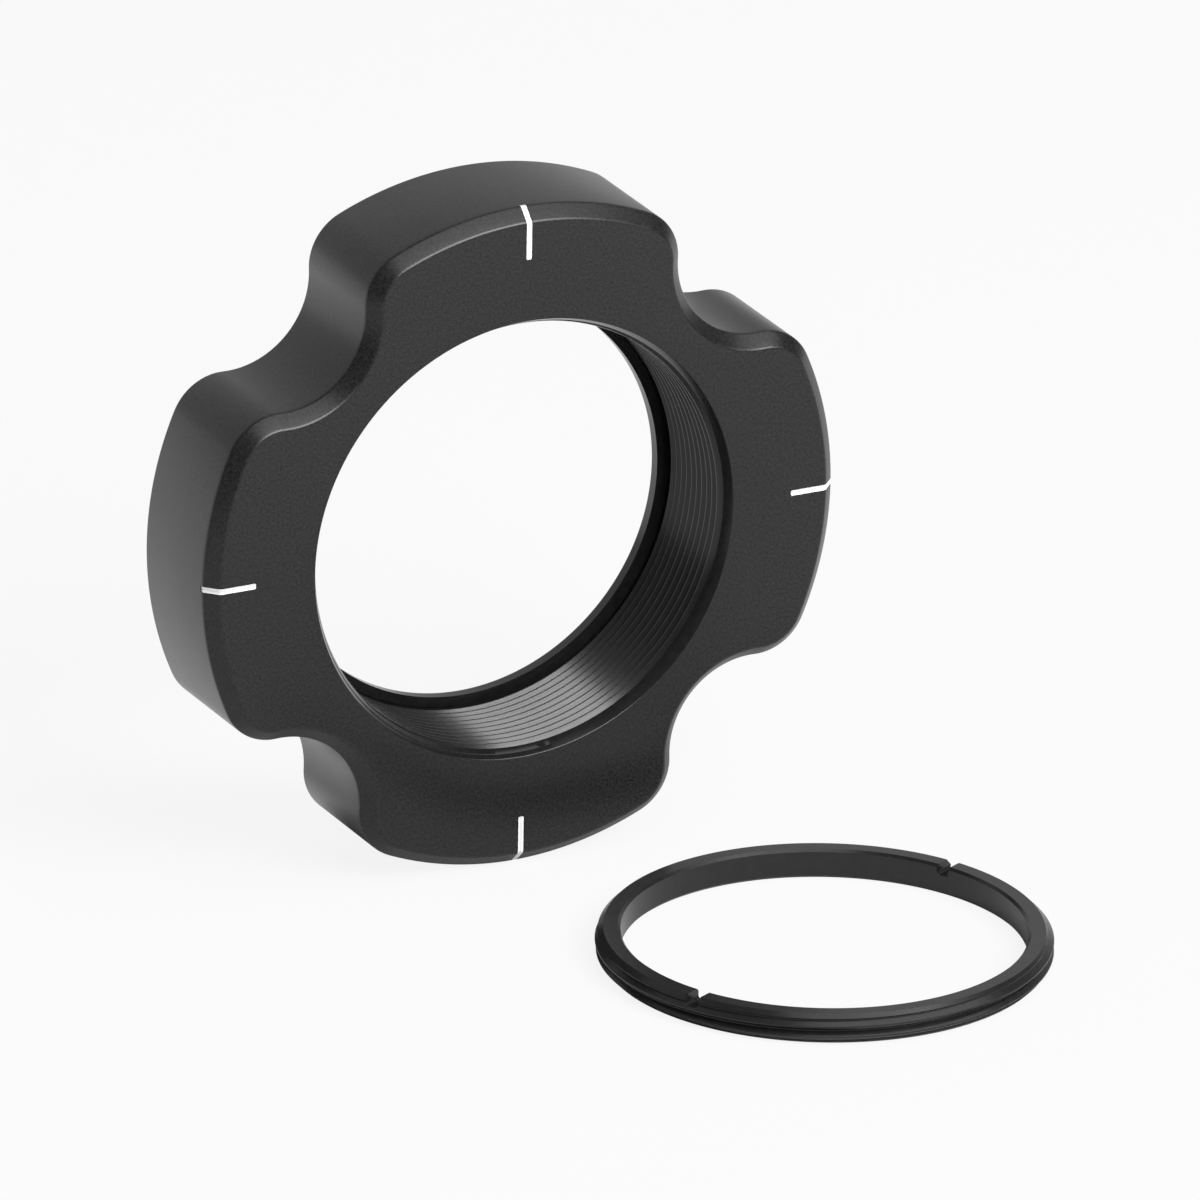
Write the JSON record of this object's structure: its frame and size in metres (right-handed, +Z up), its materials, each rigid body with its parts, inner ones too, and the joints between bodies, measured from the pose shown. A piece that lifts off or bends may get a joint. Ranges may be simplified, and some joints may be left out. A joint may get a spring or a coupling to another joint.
{
  "type": "lens cell of an xy translation cage mount",
  "caption": "Lobed lens cell of an XY translation cage mount, standing on a lobe, with its slotted threaded retaining ring lying in front of it.",
  "frame": {"origin": "middle of the narrow foot facet of the bottom lobe, where the cell stands on the table", "axes": "-Y out of the cell's front face along its bore, +Z up through the top lobe, +X to the right seen from the front"},
  "size_m": [0.0425, 0.0404, 0.04],
  "materials": {
    "cell_anodise": "bead blasted, matt black anodised",
    "ring_anodise": "fine turned, black anodised",
    "line_paint": "white enamel wiped into an engraved groove"
  },
  "bodies": {
    "cell": {"lens_cell": "cell_anodise", "index_line_top": "line_paint", "index_line_right": "line_paint", "index_line_bottom": "line_paint", "index_line_left": "line_paint"},
    "ring": {"retaining_ring": "ring_anodise"}
  },
  "joints": [
    {"name": "ring_lift", "type": "slide", "parent": "cell", "child": "ring", "axis": [0, 0, 1], "range_m": [0, 0.05]}
  ]
}
